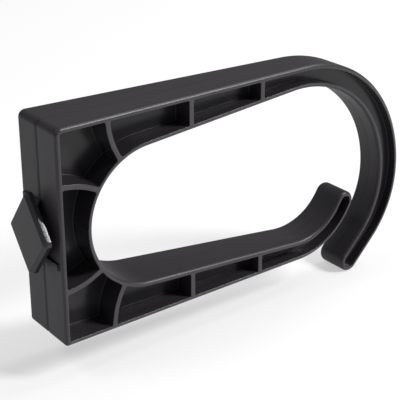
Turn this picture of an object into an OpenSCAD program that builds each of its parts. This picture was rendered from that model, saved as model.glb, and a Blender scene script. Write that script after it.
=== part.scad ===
// Cable ring that turns into a square panel hole and lets cables in past its nose.
// X runs forward from the panel face, Z is up, Y is across the ring; millimetres.
// The origin is on the plug's axis, in the face that seats on the panel.

/* [Body] */
// Height over both bars at the back
body_h = 36.8; // [36:0.2:38]
// Length from the panel face to the front of the nose
body_l = 75; // [74:0.2:78]
// Width of the panel face
back_w = 12; // [11:0.2:14]
// Angle each side leans in towards the nose
side_lean = 2.6; // [2.2:0.1:3]
// Thickness of the walls round the pockets
wall_t = 0.8; // [0.7:0.05:1.1]
// Thickness of the web between the pockets of the two sides
web_t = 2; // [1.2:0.1:2.6]
// Rounding of the upper edge of the panel face
top_edge_r = 1.2; // [1:0.05:1.6]
// Rounding of the lower edge of the panel face
low_edge_r = 0.5; // [0.3:0.05:0.8]

/* [Opening] */
// Radius of the closed end of the opening
opening_r = 11.9; // [11.5:0.1:12.3]
// Depth of material between the panel face and the opening
back_t = 5.9; // [5.4:0.05:6.5]
// Angle by which the inner side of each bar leans to its outer side
bar_lean = 4.6; // [4.3:0.1:4.9]

/* [Nose] */
// Outer radius of the nose
nose_r = 24.4; // [24:0.1:25]
// Thickness at the front of the nose
nose_t = 4.9; // [4.6:0.05:5.2]
// Outer radius below the front of the nose
curl_r = 19; // [18:0.1:20]
// Angle turned below the front of the nose
curl_turn = 45; // [43:1:48]
// Thickness of the free end
end_t = 4.3; // [4.1:0.05:4.5]
// How far the free end hangs below the lower bar
end_drop = 6.2; // [5.5:0.1:7]

/* [Tip] */
// Place along the lower bar where its underside starts to rise
tip_x = 50.5; // [49.5:0.1:51.5]
// Outer radius of the upturned tip
tip_r = 14.2; // [13.8:0.1:14.6]
// Angle turned by the tip
tip_turn = 63; // [54:1:66]

/* [Ribs] */
// Thickness of the ribs
rib_t = 0.9; // [0.7:0.05:1.1]
// Place of the first straight rib in each bar
rib_1_x = 25.6; // [22:0.1:30]
// Place of the second straight rib in each bar
rib_2_x = 40.7; // [36:0.1:45]
// Radius of the curved ribs
curve_r = 14; // [12.5:0.1:14.5]
// Place where a curved rib meets the top or bottom wall
curve_x = 9.4; // [9:0.1:10.5]
// Height above the plug's axis where a curved rib meets the back wall
curve_z = 8.9; // [8:0.1:10]

/* [Plug] */
// Width of the square hole in the panel
hole_w = 10.4; // [10.2:0.1:10.6]
// Clearance of the two stops in the hole
hole_gap = 0.1; // [0.05:0.05:0.2]
// Length of each stop
stop_l = 5; // [4.6:0.1:5]
// Width of each stop
stop_w = 1.1; // [0.8:0.05:1.2]
// Height of each stop above the panel face
stop_h = 0.4; // [0.3:0.05:0.6]
// Thickness of the panel
panel_t = 1.2; // [1:0.05:1.4]
// Clearance of the panel behind the head
panel_gap = 0.2; // [0.1:0.05:0.3]
// Radius of the neck
neck_r = 3.8; // [3.2:0.1:3.8]
// Width of the head
head_w = 11.4; // [11:0.1:12]
// Height of the head
head_h = 13.9; // [13.5:0.1:14.3]
// Thickness of the head
head_t = 1.35; // [1.2:0.05:1.6]
// Rounding of the head's corners
head_round = 0.9; // [0.7:0.1:1.2]
// Bevel along the front of the head
lead_in = 0.55; // [0.4:0.05:0.7]

/* [Hidden] */
$fn = 96;
half_h = body_h / 2;
lean_s = sin(bar_lean);
lean_c = cos(bar_lean);
// Closed end of the opening
opening_x = back_t + opening_r;
// Nose arcs: the outer one meets the top of the bar, the inner one the lean of its underside
nose_x = body_l - nose_r;
nose_z = half_h - nose_r;
front_in_x = body_l - nose_t;
nose_in_r = (opening_r + lean_s * (front_in_x - opening_x) - lean_c * nose_z) / (1 + lean_s);
nose_in_x = front_in_x - nose_in_r;
// Curl below the front, ending in two parallel lines
curl_in_r = curl_r - (end_t - nose_t * cos(curl_turn)) / (1 - cos(curl_turn));
curl_x = body_l - curl_r;
curl_in_x = front_in_x - curl_in_r;
curl_out = [curl_x + curl_r * cos(curl_turn), nose_z - curl_r * sin(curl_turn)];
curl_dir = [-sin(curl_turn), -cos(curl_turn)];
curl_side = [cos(curl_turn), -sin(curl_turn)];
end_mid = curl_out - curl_side * end_t / 2;
end_z = end_t / 2 - half_h - end_drop;
end_at = end_mid + curl_dir * (end_mid[1] - end_z) / cos(curl_turn);
// Upturned tip
tip_z = tip_r - half_h;
tip_in_r = opening_r + lean_s * (tip_x - opening_x) + lean_c * tip_z;
tip_mid_r = (tip_r + tip_in_r) / 2;
tip_round = (tip_r - tip_in_r) / 2;
// Plug
stop_z = hole_w / 2 - hole_gap - stop_w / 2;
head_x = panel_t + panel_gap;
head_c = [head_w / 2 - head_round, head_h / 2 - head_round];
head_n = [head_c[1], head_c[0]] / norm(head_c);
head_d = head_c[0] * head_n[0] + head_round;
// Direction from an inner arc's centre to the line that leans into it
up = 90 + bar_lean;
// Overlap of lines and arcs that run into each other
lap = 0.003;
// Smallest rounding of a corner that is drawn in
least_r = 0.3;
// How far the nose runs on into the curl
nose_lap = [2, 4];
// Angle by which an arc's sector runs on past its ends
spare_turn = 10;
// Angle to either side over which a curved rib is drawn
rib_turn = 44;
// Angle of the bevel on the head
bevel = 45;
// Size that reaches past the whole part
far = 2 * body_l;

// Point at a radius and an angle from a centre
function polar(centre, r, angle) = centre + r * [cos(angle), sin(angle)];
// Ends of the bars' inner lines at a margin
function nose_join(in) = polar([nose_in_x, nose_z], nose_in_r + in, up);
function tip_join(in) = polar([tip_x, tip_z], tip_in_r + in, -up);

// Back and both bars, drawn in by a margin
module bars(in) {
    top = half_h - in;
    top_r = max(top_edge_r - in, least_r);
    low_r = max(low_edge_r - in, least_r);
    difference() {
        union() {
            polygon([
                [in, low_r - top], [in + low_r, -top], [tip_x, -top], tip_join(in) + [lean_c, -lean_s],
                polar([opening_x, 0], opening_r + in, -up), polar([opening_x, 0], opening_r + in, up),
                nose_join(in) + [lean_c, lean_s], [nose_x, top], [in + top_r, top], [in, top - top_r]
            ]);
            translate([in + top_r, top - top_r]) circle(r = top_r + lap);
            translate([in + low_r, low_r - top]) circle(r = low_r + lap);
        }
        translate([opening_x, 0]) circle(r = opening_r + in + lap);
    }
}

// Upper part of the nose, from the top bar to the front
module nose(in) {
    join = nose_join(in);
    difference() {
        intersection() {
            translate([nose_x, nose_z]) circle(r = nose_r - in + lap);
            polygon([
                [nose_in_x, nose_z], [front_in_x, nose_z] - nose_lap, [body_l - in, nose_z],
                [far, nose_z], [far, far], polar(join, far, up + spare_turn), join
            ]);
        }
        translate([nose_in_x, nose_z]) circle(r = nose_in_r + in + lap);
    }
}

// Curl below the front of the nose
module curl(in) {
    centre = [curl_in_x, nose_z];
    start = polar(centre, curl_in_r + in, 0);
    finish = polar(centre, curl_in_r + in, -curl_turn);
    difference() {
        intersection() {
            translate([curl_x, nose_z]) circle(r = curl_r - in + 2 * lap);
            polygon([
                centre, finish, polar(finish, far, -curl_turn - 2 * spare_turn),
                polar(start, far, 3 * spare_turn), start
            ]);
        }
        translate(centre) circle(r = curl_in_r + in + 2 * lap);
    }
}

// Straight free end with a round finish
module free_end(in) {
    half = end_t / 2 - in;
    polygon([
        polar([curl_x, nose_z], curl_r - in, -curl_turn),
        end_at + curl_side * half,
        end_at - curl_side * half,
        polar([curl_in_x, nose_z], curl_in_r + in, -curl_turn) - curl_dir
    ]);
    translate(end_at) circle(r = half + lap);
}

// Upturned tip of the lower bar with a round finish
module tip(in) {
    centre = [tip_x, tip_z];
    join = tip_join(in);
    difference() {
        intersection() {
            translate(centre) circle(r = tip_r - in + lap);
            polygon([
                centre, join, polar(join, far, -up - spare_turn),
                [far, -far], polar(centre, far, tip_turn - 90)
            ]);
        }
        translate(centre) circle(r = tip_in_r + in + lap);
    }
    translate(polar(centre, tip_mid_r, tip_turn - 90)) circle(r = tip_round - in + lap);
}

// Whole outline of the ring, drawn in by a margin
module outline(in) {
    bars(in);
    nose(in);
    curl(in);
    free_end(in);
    tip(in);
}

// Ribs between the outer and the inner wall
module ribs() {
    intersection() {
        outline(0);
        union() {
            for (x = [rib_1_x, rib_2_x])
                translate([x - rib_t / 2, -half_h]) square([rib_t, body_h]);
            for (side = [-1, 1]) {
                curved_rib([curve_x + curve_r, side * half_h], 180);
                curved_rib([0, side * (curve_z - curve_r)], side * 90);
            }
        }
    }
}

// Arc of rib round a centre, on the side of an angle
module curved_rib(centre, angle) {
    intersection() {
        difference() {
            translate(centre) circle(r = curve_r + rib_t / 2);
            translate(centre) circle(r = curve_r - rib_t / 2);
        }
        polygon([centre, polar(centre, far, angle - rib_turn), polar(centre, far, angle + rib_turn)]);
    }
}

// Walls, ribs and web across the ring, with both sides leaning in to the nose
module ring_body() {
    narrow = 2 * tan(side_lean);
    intersection() {
        rotate([90, 0, 0]) {
            linear_extrude(height = back_w, center = true) {
                difference() {
                    outline(0);
                    outline(wall_t);
                }
                ribs();
            }
            linear_extrude(height = web_t, center = true) outline(0);
        }
        linear_extrude(height = far, center = true)
            polygon([
                [0, -back_w / 2], [far, (far * narrow - back_w) / 2],
                [far, (back_w - far * narrow) / 2], [0, back_w / 2]
            ]);
    }
}

// Rhombus with rounded corners, given by its size over the corners
module head_shape() {
    c = head_c;
    n = head_n * head_round;
    polygon([
        [c[0] + n[0], n[1]], [n[0], c[1] + n[1]], [-n[0], c[1] + n[1]], [-c[0] - n[0], n[1]],
        [-c[0] - n[0], -n[1]], [-n[0], -c[1] - n[1]], [n[0], -c[1] - n[1]], [c[0] + n[0], -n[1]]
    ]);
    for (side = [-1, 1]) {
        translate([side * c[0], 0]) circle(r = head_round + lap);
        translate([0, side * c[1]]) circle(r = head_round + lap);
    }
}

// Head with a bevel along each side of its front
module head() {
    turn = atan2(head_n[1], head_n[0]);
    difference() {
        linear_extrude(height = head_t) head_shape();
        for (angle = [turn, 180 - turn, 180 + turn, -turn])
            rotate([0, 0, angle]) translate([head_d, 0, head_t - lead_in]) rotate([0, -bevel, 0])
                translate([0, -head_h, -head_t]) cube([head_h, 2 * head_h, head_h]);
    }
}

// Plug: two stops across from each other, and the head on its neck behind the panel
module plug() {
    root = wall_t / 2;
    rotate([90, 0, -90]) {
        translate([0, 0, -root]) linear_extrude(height = root + stop_h)
            for (side = [-1, 1])
                translate([-side * stop_l / 2, side * stop_z]) square([stop_l, stop_w], center = true);
        translate([0, 0, -root]) cylinder(r = neck_r, h = root + head_x + head_t / 2);
        translate([0, 0, head_x]) head();
    }
}

module cable_ring() {
    color("#222326") {
        ring_body();
        plug();
    }
}

cable_ring();
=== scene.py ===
"""Cable ring of black moulded plastic: rounded ring body with ribbed pockets, plug, finish and studio."""

import math
from typing import NamedTuple

import bmesh
import bpy
import numpy as np
from bpy.props import FloatProperty, FloatVectorProperty, PointerProperty
from mathutils import Matrix, Vector, geometry


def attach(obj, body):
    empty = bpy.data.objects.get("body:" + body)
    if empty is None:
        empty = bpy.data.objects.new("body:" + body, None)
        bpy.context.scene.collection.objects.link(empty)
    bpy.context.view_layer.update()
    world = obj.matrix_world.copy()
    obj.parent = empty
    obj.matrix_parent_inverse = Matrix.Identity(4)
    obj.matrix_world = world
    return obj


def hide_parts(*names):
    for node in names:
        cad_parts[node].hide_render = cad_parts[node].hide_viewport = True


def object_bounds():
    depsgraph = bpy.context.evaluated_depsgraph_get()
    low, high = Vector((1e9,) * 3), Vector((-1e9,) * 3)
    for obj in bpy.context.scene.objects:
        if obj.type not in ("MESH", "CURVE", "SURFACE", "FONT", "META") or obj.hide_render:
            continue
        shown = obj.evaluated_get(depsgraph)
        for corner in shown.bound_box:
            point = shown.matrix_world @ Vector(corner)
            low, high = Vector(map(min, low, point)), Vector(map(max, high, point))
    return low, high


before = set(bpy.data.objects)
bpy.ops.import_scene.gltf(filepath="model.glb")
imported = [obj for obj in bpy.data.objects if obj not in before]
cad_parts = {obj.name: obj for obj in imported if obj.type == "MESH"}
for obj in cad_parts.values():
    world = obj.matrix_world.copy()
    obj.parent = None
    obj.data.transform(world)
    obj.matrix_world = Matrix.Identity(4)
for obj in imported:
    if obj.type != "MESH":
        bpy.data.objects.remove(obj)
CAD_LOW, CAD_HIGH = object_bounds()

bl_info = {
    "name": "Cable Ring",
    "version": (1, 0, 0),
    "blender": (4, 5, 0),
    "location": "View3D > Sidebar > Cable Ring",
    "description": "Builds a moulded cable ring with its plug, finish and studio",
    "category": "Add Mesh",
}

# Metres in a millimetre
MM = 0.001

# Degrees between the points of arcs
WIDE_BEND_STEP = 2
INNER_BEND_STEP = 3
PLUG_STEP = 6
TOP_EDGE_STEP = 9
ROUND_END_STEP = 12
LOW_EDGE_STEP = 15
# Steps over the quarter turn of the outer edges, of the rims and of the fillets
EDGE_STEPS = 5
RIM_STEPS = 3
FILLET_STEPS = 4

# Smallest rounding in millimetres of a corner that is drawn in
LEAST_CORNER = 0.05
# Height in millimetres where straight ribs start, inside the opening
RIB_START = 2.0
# Degrees to either side over which a curved rib is drawn
RIB_SWEEP = 40
# Share of the wall's thickness that the straight ribs reach into
RIB_BITE = 0.5
# Distance in millimetres at which points of flat areas count as one
FILL_GAP = 1e-6

# Turn in degrees that makes a corner of a pocket
CORNER_TURN = 25
# Spacing in millimetres of the points while corners are smoothed
POINT_GAP = 0.1
# Millimetres over which smoothing fades by 1, and its strength at the corner, which is capped at 1
CORNER_REACH = 0.5
CORNER_STRENGTH = 1.3
# Times the points are smoothed, and how far each moves towards its neighbours' mean
SMOOTH_ROUNDS = 8
SMOOTH_PULL = 0.5
# A point is kept after so many degrees and the least distance, or after the most, in millimetres
KEEP_TURN = 5
KEEP_LEAST = 0.04
KEEP_MOST = 5
# Bend below which an outline counts as straight, and the room in millimetres it then has
STRAIGHT_BEND = 1e-6
STRAIGHT_ROOM = 1e3
# Neighbours whose room a point shares, and the part of the room that is used
ROOM_NEIGHBOURS = (1, -1, 2, -2)
ROOM_SHARE = 0.7

# Gloss marks, from satin at 0 to the head's sides at 1: rounded edges and pockets
EDGE_GLOSS = 0.57
POCKET_GLOSS = 0.8
# Part of that gloss that is lost in the middle of a fillet
FILLET_DULL = 0.9
# Power by which the edge mark (painted sheen in the colour, polish in the roughness) and gloss fade round an
# edge
FADE_POWER = 4
# Painted sheen on the head: how far its colour is lightened, and its roughness polished, by the edge mark
HEAD_SHEEN = 0.05
# Size of the parting line elsewhere, as a share of its size on the panel face
SEAM_FADE = 0.25

# How far in millimetres the neck and the stops reach into the back wall
PLUG_ROOT = 0.35
# Turn in degrees of the neck's first point, which keeps edges of no length out of the union
NECK_TURN = 3
# Middle of a small rounding, as a share of its radius
ROUND_MIDDLE = 0.3
# The same for the head's bevel: where it starts, where it stops and where the face begins
BEVEL_START = 0.2
BEVEL_STOP = 0.5
FACE_START = 0.6
# Corners of a rectangle around its middle
CORNERS = np.array(((-1, -1), (1, -1), (1, 1), (-1, 1)))
# Distance in metres in front of the panel face that still belongs to the plug
PLUG_SLACK = 1e-6

# Angle in degrees above which an edge is sharp, and the weight of large faces in the normals
SHARP_ANGLE = 40
NORMAL_WEIGHT = 80

# Octaves of the grain, and of the waves and streaks
GRAIN_DETAIL = 2.0
WAVE_DETAIL = 3.0
# Middle of a noise, and the factor that makes the mean of two
NOISE_MIDDLE = 0.5
MEAN_OF_TWO = 0.5

# Floor: radius in metres, points round it and roughness
FLOOR_RADIUS = 1.5
FLOOR_POINTS = 96
FLOOR_ROUGHNESS = 0.9
WHITE = (1, 1, 1, 1)

# Camera: width of its sensor in millimetres, nearest and furthest distance in metres
SENSOR_WIDTH = 36.0
NEAREST, FURTHEST = 0.01, 10.0


class Lamp(NamedTuple):
    """An area light: place from the ring's centre and size in metres, power in watts."""

    name: str
    place: tuple
    width: float
    height: float
    power: float


LAMPS = (
    Lamp("key", (0.48, -0.50, 0.58), 0.2, 0.3, 7.2),
    Lamp("side", (0.55, 0.05, 0.71), 0.4, 0.4, 2.3),
    Lamp("fill", (-0.5, 0.2, 0.74), 0.3, 0.3, 1.3),
)


def length(name, description, default):
    """A length property, given in millimetres and kept in metres."""
    return FloatProperty(
        name=name, description=description, default=default * MM, unit="LENGTH", precision=5)


def angle(name, description, default):
    """An angle property, given in degrees."""
    return FloatProperty(
        name=name, description=description, default=math.radians(default), unit="ROTATION")


def factor(name, description, default):
    """A property between 0 and 1."""
    return FloatProperty(
        name=name, description=description, default=default, min=0.0, max=1.0, subtype="FACTOR")


def tint(name, description, default):
    """A colour property."""
    return FloatVectorProperty(
        name=name, description=description, default=default, subtype="COLOR")


class RingSizes(bpy.types.PropertyGroup):
    """Sizes of the ring's outline, walls, ribs and rounded edges"""

    height: length("Height", "Height over both bars at the back", 36.8)
    reach: length("Reach", "Length from the panel face to the front of the nose", 75.0)
    back_width: length("Back Width", "Width of the panel face", 12.0)
    side_lean: angle("Side Lean", "Angle each side leans in towards the nose", 2.6)
    wall: length("Wall", "Thickness of the walls round the pockets", 0.8)
    web: length("Web", "Thickness of the web between the pockets", 2.0)
    top_edge: length("Top Edge", "Rounding of the upper edge of the panel face", 1.2)
    low_edge: length("Low Edge", "Rounding of the lower edge of the panel face", 0.5)
    opening: length("Opening", "Radius of the closed end of the opening", 11.9)
    back: length("Back", "Material between the panel face and the opening", 5.9)
    bar_lean: angle("Bar Lean", "Angle of each bar's inner side to its outer side", 4.6)
    nose: length("Nose", "Outer radius of the nose", 24.4)
    nose_wall: length("Nose Thickness", "Thickness at the front of the nose", 4.9)
    curl: length("Curl", "Outer radius below the front of the nose", 19.0)
    curl_turn: angle("Curl Turn", "Angle turned below the front of the nose", 45.0)
    end: length("End Thickness", "Thickness of the free end", 4.3)
    end_drop: length("End Drop", "How far the free end hangs below the lower bar", 6.2)
    tip_at: length("Tip Start", "Place where the lower bar's underside starts to rise", 50.5)
    tip: length("Tip", "Outer radius of the upturned tip", 14.2)
    tip_turn: angle("Tip Turn", "Angle turned by the tip", 63.0)
    rib: length("Rib", "Thickness of the ribs", 0.9)
    rib_first: length("First Rib", "Place of the first straight rib in each bar", 25.6)
    rib_second: length("Second Rib", "Place of the second straight rib in each bar", 40.7)
    rib_curve: length("Rib Curve", "Radius of the curved ribs", 14.0)
    curve_along: length("Curve Along", "Where a curved rib meets the top or bottom wall", 9.4)
    curve_up: length("Curve Up", "Height where a curved rib meets the back wall", 8.9)
    outer_round: length("Outer Rounding", "Rounding of the ring's outer side edges", 0.58)
    rim_round: length("Rim Rounding", "Rounding of the rims towards the pockets", 0.12)
    floor_fillet: length("Floor Fillet", "Fillet where the web meets walls and ribs", 0.14)
    seam_half: length("Seam Half Width", "Half the width of the parting line on the panel face", 0.36)
    seam_depth: length("Seam Depth", "Depth of the parting line on the panel face", 0.22)


class PlugSizes(bpy.types.PropertyGroup):
    """Sizes of the plug behind the panel face"""

    gap: length("Gap", "Room for the panel behind the head", 1.4)
    neck: length("Neck", "Radius of the neck", 3.8)
    head_width: length("Head Width", "Width of the head", 11.4)
    head_height: length("Head Height", "Height of the head", 13.9)
    head_depth: length("Head Depth", "Thickness of the head", 1.349)
    head_corner: length("Head Corner", "Rounding of the head's corners", 0.9)
    lead_in: length("Lead-in", "Bevel round the front of the head", 0.52)
    stop_length: length("Stop Length", "Length of each stop", 5.0)
    stop_width: length("Stop Width", "Width of each stop", 1.1)
    stop_height: length("Stop Height", "Height of each stop above the panel face", 0.4)
    stop_place: length("Stop Place", "Distance of each stop above or below the plug's axis", 4.55)
    small_round: length("Small Rounding", "Rounding of the plug's other edges", 0.06)


class FinishSettings(bpy.types.PropertyGroup):
    """Colours and gloss of the moulded plastic"""

    plastic: tint("Plastic", "Colour of the plastic", (0.0165, 0.0138, 0.0174))
    # Lighter colour: painted sheen on the rims, rounded edges and head, where light catches them, and the
    # real lighter tone of the streaks on plain faces
    sheen_and_streaks: tint("Sheen_And_Streaks", "Colour where edges are rubbed", (0.106, 0.097, 0.110))
    streaks: factor("Streaks", "Share of the rubbed colour in the streaks on plain faces", 0.3)
    satin: factor("Satin", "Roughness of the outer faces", 0.55)
    gloss: factor("Gloss", "Roughness of the glossiest faces, the head's sides", 0.14)
    polish: factor("Polish", "Roughness of rubbed edges", 0.25)
    specular: factor("Specular", "Strength of the plastic's reflections", 0.36)
    ior: FloatProperty(name="IOR", description="Index of refraction of the plastic", default=1.5, min=1.0)
    relief: factor("Relief", "Strength of the grain's relief", 0.25)
    relief_depth: length("Relief Depth", "Depth of the grain's relief", 0.02)


class StudioSettings(bpy.types.PropertyGroup):
    """Camera, floor and plain light of the studio"""

    distance: length("Distance", "Distance from the camera to the point it looks at", 207.47)
    turn: angle("Turn", "Turn of the camera round the ring", -35.64)
    rise: angle("Rise", "Height of the camera above the horizon", 23.23)
    roll: angle("Roll", "Roll of the camera", -0.34)
    aim_along: length("Aim Along", "Point the camera looks at, along the ring", 30.57)
    aim_up: length("Aim Up", "Point the camera looks at, upwards", -2.63)
    lens: FloatProperty(name="Lens", description="Focal length in millimetres", default=108.97, unit="CAMERA")
    floor: tint("Floor", "Colour of the floor", (0.5, 0.5, 0.5))
    glow: factor("Glow", "Light the floor adds where it is seen or mirrored", 0.5)
    world: tint("World", "Colour of the light from all round", (0.2, 0.2, 0.203))


def in_mm(sizes, *names):
    """Some of the sizes, in millimetres."""
    return [getattr(sizes, name) / MM for name in names]


def arc(centre, radius, start, end, step):
    """Points on an arc between two angles in degrees."""
    count = max(2, math.ceil(abs(end - start) / step))
    turn = np.radians(np.linspace(start, end, count + 1))
    return np.column_stack((centre[0] + radius * np.cos(turn), centre[1] + radius * np.sin(turn)))


def outline(s, inset):
    """The ring's outline in millimetres, drawn in by an inset; the points of all insets match."""
    height, reach, opening, back = in_mm(s, "height", "reach", "opening", "back")
    nose, nose_wall, curl, end, end_drop = in_mm(s, "nose", "nose_wall", "curl", "end", "end_drop")
    tip_at, tip, top_edge, low_edge = in_mm(s, "tip_at", "tip", "top_edge", "low_edge")
    lean, curl_turn, tip_turn = (math.degrees(v) for v in (s.bar_lean, s.curl_turn, s.tip_turn))
    sin_lean, cos_lean = math.sin(s.bar_lean), math.cos(s.bar_lean)
    sin_curl, cos_curl = math.sin(s.curl_turn), math.cos(s.curl_turn)
    half = height / 2
    open_x = back + opening
    up = 90 + lean
    # Nose: the inner arc runs on from the upper bar and meets the front
    nose_x, nose_z = reach - nose, half - nose
    front = reach - nose_wall
    nose_in = (opening + sin_lean * (front - open_x) - cos_lean * nose_z) / (1 + sin_lean)
    # Curl: both arcs turn into two parallel lines, which end round
    curl_x = reach - curl
    curl_in = curl - (end - nose_wall * cos_curl) / (1 - cos_curl)
    along, across = np.array((-sin_curl, -cos_curl)), np.array((cos_curl, -sin_curl))
    middle = np.array((curl_x, nose_z)) + across * (curl - end / 2)
    end_z = end / 2 - half - end_drop
    end_at = middle + along * (middle[1] - end_z) / cos_curl
    # Tip: the inner arc runs on from the lower bar
    tip_centre = np.array((tip_at, tip - half))
    tip_in = opening + sin_lean * (tip_at - open_x) + cos_lean * tip_centre[1]
    tip_mid, tip_half = (tip + tip_in) / 2, (tip - tip_in) / 2
    tip_way = math.radians(tip_turn - 90)
    tip_end = tip_centre + tip_mid * np.array((math.cos(tip_way), math.sin(tip_way)))
    top_r, low_r = max(top_edge - inset, LEAST_CORNER), max(low_edge - inset, LEAST_CORNER)
    return np.vstack((
        arc((inset + low_r, inset + low_r - half), low_r, 180, 270, LOW_EDGE_STEP),
        arc(tip_centre, tip - inset, -90, tip_turn - 90, WIDE_BEND_STEP),
        arc(tip_end, tip_half - inset, tip_turn - 90, tip_turn + 90, ROUND_END_STEP)[1:-1],
        arc(tip_centre, tip_in + inset, tip_turn - 90, -up, INNER_BEND_STEP),
        arc((open_x, 0), opening + inset, -up, up - 360, INNER_BEND_STEP),
        arc((front - nose_in, nose_z), nose_in + inset, up, 0, WIDE_BEND_STEP),
        arc((front - curl_in, nose_z), curl_in + inset, 0, -curl_turn, WIDE_BEND_STEP)[1:],
        arc(end_at, end / 2 - inset, 180 - curl_turn, 360 - curl_turn, ROUND_END_STEP),
        arc((curl_x, nose_z), curl - inset, -curl_turn, 0, WIDE_BEND_STEP),
        arc((nose_x, nose_z), nose - inset, 0, 90, WIDE_BEND_STEP)[1:],
        arc((inset + top_r, half - inset - top_r), top_r, 90, 180, TOP_EDGE_STEP),
    ))


def rib_shapes(s):
    """Closed outlines of the ribs in millimetres, each reaching past the walls it joins."""
    height, rib, radius, along, up = in_mm(s, "height", "rib", "rib_curve", "curve_along", "curve_up")
    half = height / 2
    far = half - RIB_BITE * s.wall / MM
    shapes = []
    for at in in_mm(s, "rib_first", "rib_second"):
        left, right = at - rib / 2, at + rib / 2
        for low, high in ((RIB_START, far), (-far, -RIB_START)):
            shapes.append(np.array(((left, low), (right, low), (right, high), (left, high))))
    for side in (-1, 1):
        for centre, way in (((along + radius, side * half), 180), ((0, side * (up - radius)), side * 90)):
            first, last = way - RIB_SWEEP, way + RIB_SWEEP
            outer = arc(centre, radius + rib / 2, first, last, WIDE_BEND_STEP)
            inner = arc(centre, radius - rib / 2, last, first, WIDE_BEND_STEP)
            shapes.append(np.vstack((outer, inner)))
    return shapes


def triangulate(loops):
    """Triangles over flat loops: the points, the triangles, the points' sources and the triangles' loops."""
    points, faces = [], []
    for loop in loops:
        faces.append(list(range(len(points), len(points) + len(loop))))
        points += [Vector(p) for p in loop]
    made, _, triangles, sources, _, owners = geometry.delaunay_2d_cdt(points, [], faces, 1, FILL_GAP)
    return made, triangles, sources, owners


def fill(loops):
    """Triangles over the first loop that leave out the others, as indices into all the points in order."""
    made, triangles, sources, owners = triangulate(loops)
    if len(made) != sum(len(loop) for loop in loops):
        raise RuntimeError("two outlines of the ring cross; reduce the rounding or the fillet")
    return [[sources[v][0] for v in t] for t, owner in zip(triangles, owners) if owner == [0]]


def pocket_loops(wall, ribs):
    """Outlines of the pockets left between the walls and the ribs."""
    made, triangles, _, owners = triangulate([wall, *ribs])
    # Edges that only one triangle of a pocket has, from each point to the next
    ahead = {}
    for triangle, owner in zip(triangles, owners):
        if owner == [0]:
            for a, b in zip(triangle, triangle[1:] + triangle[:1]):
                if a in ahead.get(b, ()):
                    ahead[b].remove(a)
                else:
                    ahead.setdefault(a, []).append(b)
    loops = []
    while any(ahead.values()):
        start = here = next(v for v, following in ahead.items() if following)
        loop = []
        while True:
            loop.append(made[here])
            here = ahead[here].pop()
            if here == start:
                break
        loops.append(np.array(loop))
    return loops


def cross(first, second):
    """Cross products of matching flat vectors."""
    return first[:, 0] * second[:, 1] - first[:, 1] * second[:, 0]


def soften(loop):
    """Rounds a loop's corners; returns the points its bends need, their normals and the room to draw in."""
    ahead = np.roll(loop, -1, 0)
    into, out = loop - np.roll(loop, 1, 0), ahead - loop
    turn = np.degrees(np.abs(np.arctan2(cross(into, out), (into * out).sum(1))))
    corners = loop[turn > CORNER_TURN]
    dense = []
    for a, b in zip(loop, ahead):
        count = max(1, round(float(np.hypot(*(b - a))) / POINT_GAP))
        dense += [a + (b - a) * k / count for k in range(count)]
    dense = np.array(dense)
    near = np.min(np.hypot(*(dense[:, None] - corners[None]).transpose(2, 0, 1)), axis=1)
    share = np.clip(CORNER_STRENGTH - near / CORNER_REACH, 0, 1)[:, None]
    for _ in range(SMOOTH_ROUNDS):
        mean = (np.roll(dense, 1, 0) + np.roll(dense, -1, 0)) / 2
        dense = dense + SMOOTH_PULL * share * (mean - dense)
    way = np.roll(dense, -1, 0) - np.roll(dense, 1, 0)
    heading = np.degrees(np.unwrap(np.arctan2(way[:, 1], way[:, 0])))
    kept, last_heading, gone = [], math.inf, 0.0
    for k, point in enumerate(dense):
        gone += float(np.hypot(*(point - dense[k - 1])))
        turned = abs(heading[k] - last_heading) > KEEP_TURN
        if (turned and gone > KEEP_LEAST) or gone > KEEP_MOST:
            kept.append(k)
            last_heading, gone = heading[k], 0.0
    stretch = np.hypot(way[:, 0], way[:, 1])
    normal = np.column_stack((way[:, 1], -way[:, 0])) / stretch[:, None]
    bend = cross(np.roll(normal, 1, 0), np.roll(normal, -1, 0))
    room = np.where(bend > STRAIGHT_BEND, stretch / np.maximum(bend, STRAIGHT_BEND), STRAIGHT_ROOM)
    for shift in ROOM_NEIGHBOURS:
        room = np.minimum(room, np.roll(room, shift))
    return dense[kept], normal[kept], ROOM_SHARE * room[kept][:, None]


class ShellBuilder:
    """Collects the rings of points of closed shells and the faces between them."""

    def __init__(self):
        self.bm = bmesh.new()
        self.glossy = self.bm.verts.layers.float.new("glossy")
        # Edge mark: painted sheen in the colour and polish in the roughness
        self.rubbed_sheen = self.bm.verts.layers.float.new("rubbed_sheen")

    def ring(self, points, glossy=0.0, rubbed_sheen=0.0):
        """A ring of vertices from points in millimetres."""
        ring = []
        for point in points:
            vert = self.bm.verts.new(Vector(point) * MM)
            vert[self.glossy], vert[self.rubbed_sheen] = glossy, rubbed_sheen
            ring.append(vert)
        return ring

    def strips(self, rings):
        """Quads between each ring and the next; all have as many points."""
        for first, second in zip(rings, rings[1:]):
            for k in range(len(first)):
                n = (k + 1) % len(first)
                self.bm.faces.new((first[k], first[n], second[n], second[k]))

    def cover(self, rings, loops):
        """Triangles over a flat area between rings; the loops are the same points drawn flat."""
        verts = [vert for ring in rings for vert in ring]
        for triangle in fill(loops):
            self.bm.faces.new([verts[k] for k in triangle])

    def closed(self, levels):
        """A shell closed at both ends, through loops across the plug's axis with their places on it."""
        rings = [self.ring([(x, y, z) for y, z in loop]) for loop, x in levels]
        self.strips(rings)
        for end in (0, -1):
            self.cover([rings[end]], [levels[end][0]])

    def finish(self, name):
        """The shells as a new mesh."""
        bmesh.ops.recalc_face_normals(self.bm, faces=self.bm.faces)
        mesh = bpy.data.meshes.new(name)
        self.bm.to_mesh(mesh)
        self.bm.free()
        mesh.shade_smooth()
        return mesh


def quarter(steps):
    """Sine and cosine at even steps over a quarter turn."""
    return [(math.sin(a), math.cos(a)) for a in np.linspace(0, math.pi / 2, steps + 1)]


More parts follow.
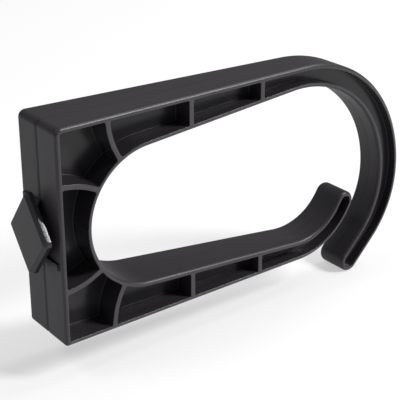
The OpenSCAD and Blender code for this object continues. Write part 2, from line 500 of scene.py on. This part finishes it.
def build_side(shell, s, side, pockets):
    """One side of the ring: rounded edge, rims and pockets; returns the edge's outermost ring."""
    width, web, outer_r = in_mm(s, "back_width", "web", "outer_round")
    rim_r, fillet = in_mm(s, "rim_round", "floor_fillet")
    slope = math.tan(s.side_lean)

    def place(points, drop):
        """Points of an outline, at a depth below the side's leaning plane."""
        return [(x, side * (width / 2 - slope * x - drop), z) for x, z in points]

    edges = []
    for sine, cosine in quarter(EDGE_STEPS):
        edge = place(outline(s, outer_r * (1 - cosine)), outer_r * (1 - sine))
        # Painted sheen: the edge mark lightens the colour and polishes it towards the flat rim
        edges.append(shell.ring(edge, glossy=EDGE_GLOSS * sine * cosine, rubbed_sheen=sine ** FADE_POWER))
    shell.strips(edges)
    flat_rings, flat_loops = [edges[-1]], [outline(s, outer_r)]
    for points, normals, room in pockets:
        rings = []
        for sine, cosine in quarter(RIM_STEPS):
            rim = place(points + normals * rim_r * (1 - sine), rim_r * (1 - cosine))
            # Painted sheen: the rim's edge mark lightens and polishes the flat rim, fading into the pocket
            rings.append(shell.ring(rim, glossy=POCKET_GLOSS * sine ** FADE_POWER, rubbed_sheen=cosine))
        flat_rings.append(rings[0])
        flat_loops.append(points + normals * rim_r)
        turned = np.minimum(fillet, room)
        for sine, cosine in quarter(FILLET_STEPS):
            foot = points - normals * turned * (1 - cosine)
            depth = web / 2 + fillet * (1 - sine)
            gloss = POCKET_GLOSS * (1 - FILLET_DULL * 2 * sine * cosine)
            rings.append(shell.ring([(x, side * depth, z) for x, z in foot], glossy=gloss))
        shell.strips(rings)
        shell.cover([rings[-1]], [foot])
    shell.cover(flat_rings, flat_loops)
    return edges[0]


def build_ring(s):
    """Mesh of the ring body: two sides with pockets, and the outer wall with its parting line."""
    shell = ShellBuilder()
    wall, low_edge, seam, seam_depth = in_mm(s, "wall", "low_edge", "seam_half", "seam_depth")
    pockets = [soften(loop) for loop in pocket_loops(outline(s, wall), rib_shapes(s))]
    near, far = [build_side(shell, s, side, pockets) for side in (-1, 1)]
    plain, sunk = outline(s, 0), outline(s, seam_depth)
    share = np.where(plain[:, :1] < low_edge, 1.0, SEAM_FADE)
    sunk = plain + share * (sunk - plain)
    middle = []
    for points, side in ((plain, -1), (sunk, 0), (plain, 1)):
        middle.append(shell.ring([(x, side * seam * w, z) for (x, z), (w,) in zip(points, share)]))
    shell.strips([near, *middle, far])
    return shell.finish("ring_body")


def diamond(width, height, corner, inset):
    """Rounded diamond in millimetres, drawn in by an inset."""
    a, b = width / 2 - corner, height / 2 - corner
    lean = math.degrees(math.atan2(a, b))
    corners = (
        ((a, 0), 0, lean),
        ((0, b), 90, 90 - lean),
        ((-a, 0), 180, lean),
        ((0, -b), 270, 90 - lean),
    )
    return np.vstack([
        arc(centre, corner - inset, way - reach, way + reach, PLUG_STEP) for centre, way, reach in corners])


def build_plug(s):
    """Mesh of the plug: head, neck and stops as closed shells; neck and stops reach into the back wall."""
    shell = ShellBuilder()
    gap, depth, lead, small = in_mm(s, "gap", "head_depth", "lead_in", "small_round")
    head = in_mm(s, "head_width", "head_height", "head_corner")
    soft = small * ROUND_MIDDLE
    front = -gap - depth
    bevel = front + lead
    levels = (
        (small, -gap),
        (soft, -gap - soft),
        (0.0, -gap - small),
        (0.0, bevel + small),
        (small * BEVEL_START, bevel + soft),
        (lead - small * BEVEL_STOP, front + small * BEVEL_STOP),
        (lead + small * FACE_START, front),
    )
    shell.closed([(diamond(*head, inset), x) for inset, x in levels])
    circle = arc((0, 0), s.neck / MM, NECK_TURN, NECK_TURN + 360, PLUG_STEP)[:-1]
    shell.closed([(circle, PLUG_ROOT), (circle, -gap - depth / 2)])
    top = -s.stop_height / MM
    half = np.array(in_mm(s, "stop_length", "stop_width")) / 2
    levels = ((0, PLUG_ROOT), (0, top + small), (soft, top + soft), (small, top))
    for side in (-1, 1):
        middle = side * np.array((s.stop_length / 2, s.stop_place)) / MM
        shell.closed([(middle + CORNERS * (half - inset), x) for inset, x in levels])
    return shell.finish("plug")


def mark_plug(mesh, s):
    """Gloss on the head's sides and painted sheen with a little polish over the head, set after the union,
    which doesn't carry them over.
    """
    places = np.empty(len(mesh.vertices) * 3, np.float32)
    mesh.vertices.foreach_get("co", places)
    behind = -places[::3]
    slack = s.small_round / 2
    head = behind > s.gap - slack
    side = (behind > s.gap + slack) & (behind < s.gap + s.head_depth - s.lead_in - slack)
    # Painted sheen: the head's edge mark lightens its colour a little and polishes it
    for name, marks in (("glossy", side), ("rubbed_sheen", HEAD_SHEEN * head)):
        values = np.empty(len(mesh.vertices), np.float32)
        data = mesh.attributes[name].data
        data.foreach_get("value", values)
        values = np.where(behind > -PLUG_SLACK, marks, values)
        data.foreach_set("value", values.astype(np.float32))


def feed(tree, node, values):
    """Sets a node's inputs, by name or number, to plain values or links them to other nodes' outputs."""
    for socket, value in values.items():
        if isinstance(value, bpy.types.NodeSocket):
            tree.links.new(value, node.inputs[socket])
        else:
            node.inputs[socket].default_value = value


def math_node(tree, operation, first, second):
    """The output of a new math node."""
    node = tree.nodes.new("ShaderNodeMath")
    node.operation = operation
    feed(tree, node, {0: first, 1: second})
    return node.outputs[0]


def mix_node(tree, kind, amount, first, second):
    """The result of a new mix node of numbers or colours."""
    node = tree.nodes.new("ShaderNodeMix")
    node.data_type = kind
    feed(tree, node, {"Factor": amount, "A": first, "B": second})
    return node.outputs["Result"]


def noise_node(tree, place, scale, detail):
    """The values of a new noise texture."""
    node = tree.nodes.new("ShaderNodeTexNoise")
    feed(tree, node, {"Vector": place, "Scale": scale, "Detail": detail})
    return node.outputs["Fac"]


def mark_node(tree, name):
    """The values of the marks that the mesh's points carry."""
    node = tree.nodes.new("ShaderNodeAttribute")
    node.attribute_name = name
    return node.outputs["Fac"]


def new_group(name, inputs, outputs):
    """An empty shader node group with named sockets; returns it with its input and output nodes."""
    group = bpy.data.node_groups.new(name, "ShaderNodeTree")
    for socket, kind, default in inputs:
        made = group.interface.new_socket(socket, in_out="INPUT", socket_type=kind)
        made.default_value = default
    for socket, kind in outputs:
        group.interface.new_socket(socket, in_out="OUTPUT", socket_type=kind)
    return group, group.nodes.new("NodeGroupInput"), group.nodes.new("NodeGroupOutput")


def grain_group():
    """Moulded surface of grain, tool streaks and slow waves, as a height, a gloss drift and a tint."""
    inputs = (
        ("Grain Size", "NodeSocketFloat", 5000.0),
        ("Wave Size", "NodeSocketFloat", 320.0),
        ("Streak Run", "NodeSocketVector", (45.0, 1100.0, 45.0)),
        ("Grain", "NodeSocketFloat", 0.6),
        ("Drift", "NodeSocketFloat", 0.16),
    )
    outputs = (
        ("Height", "NodeSocketFloat"),
        ("Gloss Drift", "NodeSocketFloat"),
        ("Tint", "NodeSocketFloat"),
    )
    group, given, made = new_group("Moulded Grain", inputs, outputs)
    place = group.nodes.new("ShaderNodeTexCoord").outputs["Object"]
    run = group.nodes.new("ShaderNodeVectorMath")
    run.operation = "MULTIPLY"
    feed(group, run, {0: place, 1: given.outputs["Streak Run"]})
    fine = noise_node(group, place, given.outputs["Grain Size"], GRAIN_DETAIL)
    slow = noise_node(group, place, given.outputs["Wave Size"], WAVE_DETAIL)
    streak = noise_node(group, run.outputs[0], 1.0, WAVE_DETAIL)
    grain = math_node(group, "MULTIPLY", fine, given.outputs["Grain"])
    waves = math_node(group, "ADD", slow, streak)
    mean = math_node(group, "MULTIPLY", waves, MEAN_OF_TWO)
    drift = math_node(group, "SUBTRACT", mean, NOISE_MIDDLE)
    feed(group, made, {
        "Height": math_node(group, "ADD", grain, waves),
        "Gloss Drift": math_node(group, "MULTIPLY", drift, given.outputs["Drift"]),
        "Tint": math_node(group, "MULTIPLY", math_node(group, "ADD", fine, streak), MEAN_OF_TWO),
    })
    return group


def plastic_material(settings):
    """Black plastic: satin and grained outside, glossier in the pockets, polished and lightened by a painted
    sheen on the rims, rounded edges and head, with lighter streaks of real tone on plain faces.
    """
    material = bpy.data.materials.new("moulded_black")
    material.use_nodes = True
    tree = material.node_tree
    grain = tree.nodes.new("ShaderNodeGroup")
    grain.node_tree = grain_group()
    glossy, rubbed_sheen = mark_node(tree, "glossy"), mark_node(tree, "rubbed_sheen")
    # Painted sheen: the edge mark mixes the colour towards the lighter one on rims, rounded edges and the
    # head, where light catches them; on plain faces the streak share gives a random lighter tone
    sheen_and_streak_share = math_node(tree, "MAXIMUM", rubbed_sheen, settings.streaks)
    sheen_and_streak_share = math_node(tree, "MULTIPLY", sheen_and_streak_share, grain.outputs["Tint"])
    finish = mix_node(tree, "FLOAT", glossy, settings.satin, settings.gloss)
    finish = mix_node(tree, "FLOAT", rubbed_sheen, finish, settings.polish)
    bump = tree.nodes.new("ShaderNodeBump")
    feed(tree, bump, {
        "Strength": settings.relief,
        "Distance": settings.relief_depth,
        "Height": grain.outputs["Height"],
    })
    feed(tree, tree.nodes["Principled BSDF"], {
        "Base Color": mix_node(tree, "RGBA", sheen_and_streak_share, (*settings.plastic, 1), (*settings.sheen_and_streaks, 1)),
        "Roughness": math_node(tree, "ADD", finish, grain.outputs["Gloss Drift"]),
        "Normal": bump.outputs["Normal"],
        "IOR": settings.ior,
        "Specular IOR Level": settings.specular,
    })
    return material


def floor_material(settings):
    """Pale floor that takes shadows and glows to white where it is seen or mirrored."""
    material = bpy.data.materials.new("pale_floor")
    material.use_nodes = True
    tree = material.node_tree
    rays = tree.nodes.new("ShaderNodeLightPath").outputs
    seen = math_node(tree, "MAXIMUM", rays["Is Camera Ray"], rays["Is Glossy Ray"])
    seen = math_node(tree, "MAXIMUM", seen, rays["Is Transmission Ray"])
    feed(tree, tree.nodes["Principled BSDF"], {
        "Base Color": (*settings.floor, 1),
        "Roughness": FLOOR_ROUGHNESS,
        "Specular IOR Level": 0.0,
        "Emission Color": WHITE,
        "Emission Strength": math_node(tree, "MULTIPLY", seen, settings.glow),
    })
    return material


def link_object(name, data):
    """A new object in the scene."""
    made = bpy.data.objects.new(name, data)
    bpy.context.scene.collection.objects.link(made)
    return made


class CABLERING_OT_ring(bpy.types.Operator):
    """Builds the ring with its pockets, ribs and plug as one moulded piece"""

    bl_idname = "cable_ring.ring"
    bl_label = "Build Ring"
    bl_options = {"REGISTER", "UNDO"}

    def execute(self, context):
        scene = context.scene
        body = link_object("ring", build_ring(scene.cable_ring_sizes))
        plug = link_object("plug", build_plug(scene.cable_ring_plug))
        union = body.modifiers.new("plug", "BOOLEAN")
        union.operation = "UNION"
        union.solver = "EXACT"
        union.use_self = True
        union.object = plug
        context.view_layer.update()
        joined = bpy.data.meshes.new_from_object(body.evaluated_get(context.evaluated_depsgraph_get()))
        if not joined.polygons:
            raise RuntimeError("the plug couldn't be joined to the ring")
        body.modifiers.remove(union)
        body.data = joined
        joined.name = "ring"
        bpy.data.objects.remove(plug)
        mark_plug(joined, scene.cable_ring_plug)
        joined.materials.clear()
        joined.materials.append(plastic_material(scene.cable_ring_finish))
        joined.shade_smooth()
        joined.set_sharp_from_angle(angle=math.radians(SHARP_ANGLE))
        level = body.modifiers.new("level", "WEIGHTED_NORMAL")
        level.mode = "FACE_AREA_WITH_ANGLE"
        level.weight = NORMAL_WEIGHT
        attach(body, "root")
        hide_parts("cable_ring")
        return {"FINISHED"}


class CABLERING_OT_studio(bpy.types.Operator):
    """Builds the floor, lights, world and camera"""

    bl_idname = "cable_ring.studio"
    bl_label = "Build Studio"
    bl_options = {"REGISTER", "UNDO"}

    def execute(self, context):
        scene = context.scene
        settings = scene.cable_ring_studio
        centre = (CAD_LOW + CAD_HIGH) / 2
        self.floor(settings, centre)
        self.world(scene, settings)
        for lamp in LAMPS:
            self.light(lamp, centre)
        self.camera(scene, settings)
        scene.view_settings.view_transform = "Standard"
        return {"FINISHED"}

    def floor(self, settings, centre):
        """A pale floor under the lowest point of the ring."""
        bm = bmesh.new()
        bmesh.ops.create_circle(bm, cap_ends=True, segments=FLOOR_POINTS, radius=FLOOR_RADIUS)
        mesh = bpy.data.meshes.new("floor")
        bm.to_mesh(mesh)
        bm.free()
        mesh.materials.append(floor_material(settings))
        floor = link_object("floor", mesh)
        floor.location = (centre.x, centre.y, CAD_LOW.z)

    def world(self, scene, settings):
        """Plain soft light from all round."""
        world = bpy.data.worlds.new("studio")
        world.use_nodes = True
        world.node_tree.nodes["Background"].inputs["Color"].default_value = (*settings.world, 1)
        scene.world = world

    def light(self, lamp, centre):
        """An area light that looks at the ring's centre."""
        data = bpy.data.lights.new(lamp.name, "AREA")
        data.shape = "RECTANGLE"
        data.size, data.size_y = lamp.width, lamp.height
        data.energy = lamp.power
        light = link_object(lamp.name, data)
        light.location = centre + Vector(lamp.place)
        light.rotation_mode = "QUATERNION"
        light.rotation_quaternion = (-Vector(lamp.place)).to_track_quat("-Z", "Y")

    def camera(self, scene, settings):
        """The camera at the photograph's viewing angle."""
        data = bpy.data.cameras.new("camera")
        data.sensor_width = SENSOR_WIDTH
        data.lens = settings.lens
        data.clip_start, data.clip_end = NEAREST, FURTHEST
        camera = link_object("camera", data)
        turn, rise = settings.turn, settings.rise
        back = Vector((math.sin(turn) * math.cos(rise), -math.cos(turn) * math.cos(rise), math.sin(rise)))
        right = Vector((0, 0, 1)).cross(back).normalized()
        up = back.cross(right)
        rolled = right * math.cos(settings.roll) + up * math.sin(settings.roll)
        up = up * math.cos(settings.roll) - right * math.sin(settings.roll)
        place = Vector((settings.aim_along, 0, settings.aim_up)) + back * settings.distance
        facing = Matrix((rolled, up, back)).transposed()
        camera.matrix_world = Matrix.Translation(place) @ facing.to_4x4()
        scene.camera = camera


class CABLERING_PT_panel(bpy.types.Panel):
    """Cable ring tools"""

    bl_label = "Cable Ring"
    bl_idname = "CABLERING_PT_panel"
    bl_space_type = "VIEW_3D"
    bl_region_type = "UI"
    bl_category = "Cable Ring"

    def draw(self, context):
        layout = self.layout
        for operator in OPERATORS:
            layout.operator(operator.bl_idname)
        for group in SETTINGS:
            settings = getattr(context.scene, group)
            box = layout.box()
            for name in settings.__annotations__:
                box.prop(settings, name)


# Property groups by their names on the scene
SETTINGS = {
    "cable_ring_sizes": RingSizes,
    "cable_ring_plug": PlugSizes,
    "cable_ring_finish": FinishSettings,
    "cable_ring_studio": StudioSettings,
}
OPERATORS = (CABLERING_OT_ring, CABLERING_OT_studio)
CLASSES = (*SETTINGS.values(), *OPERATORS, CABLERING_PT_panel)


def register():
    for cls in CLASSES:
        bpy.utils.register_class(cls)
    for name, group in SETTINGS.items():
        setattr(bpy.types.Scene, name, PointerProperty(type=group))


def unregister():
    for name in SETTINGS:
        delattr(bpy.types.Scene, name)
    for cls in reversed(CLASSES):
        bpy.utils.unregister_class(cls)


def main():
    register()
    bpy.ops.cable_ring.ring()
    bpy.ops.cable_ring.studio()


if __name__ == "__main__":
    main()
